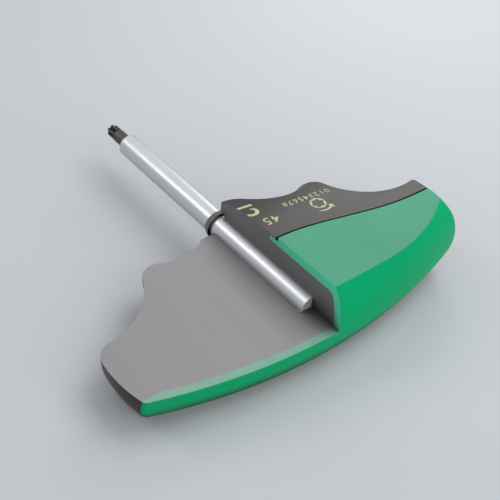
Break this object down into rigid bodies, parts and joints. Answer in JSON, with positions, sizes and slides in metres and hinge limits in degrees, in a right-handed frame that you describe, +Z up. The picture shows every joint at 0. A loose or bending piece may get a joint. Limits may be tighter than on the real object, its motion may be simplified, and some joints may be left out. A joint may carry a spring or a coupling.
{
  "type": "torque screwdriver",
  "caption": "Torque screwdriver with a wing handle, shown cut away along the tube: soft rear grip, hard core, steel tube with a torsion bar inside, six-lobe tip.",
  "frame": {"origin": "under the middle of the bounding box, on the plane of the handle's flat underside", "axes": "+X along the wings, +Y along the tube toward the tip, +Z up, toward the removed quarter"},
  "size_m": [0.0938, 0.0902, 0.0214],
  "materials": {
    "core_plastic": "satin, dark grey",
    "grip_plastic": "soft satin, green",
    "tube_steel": "bright satin",
    "collar_plastic": "satin, dark",
    "anchor_steel": "turned",
    "spring_steel": "drawn",
    "blade_steel": "burnished dark",
    "bush_brass": "turned",
    "ball_steel": "polished"
  },
  "bodies": {
    "handle": {"handle_core": "core_plastic", "handle_grip": "grip_plastic", "sleeve_tube": "tube_steel", "collar_ring": "collar_plastic", "rear_anchor": "anchor_steel", "anchor_pin": "anchor_steel", "torsion_bar": "spring_steel", "front_bush": "bush_brass", "stop_pin": "anchor_steel"},
    "blade": {"blade": "blade_steel", "click_ball_upper": "ball_steel", "click_ball_lower": "ball_steel", "click_spring": "spring_steel"}
  },
  "joints": [
    {"name": "tip_twist", "type": "hinge", "parent": "handle", "child": "blade", "pos_m": [0, 0, 0.0107], "axis": [0, 1, 0], "range_deg": [-17, 17], "stiffness_Nm_per_rad": 6.39, "deforming": ["torsion_bar"]}
  ]
}
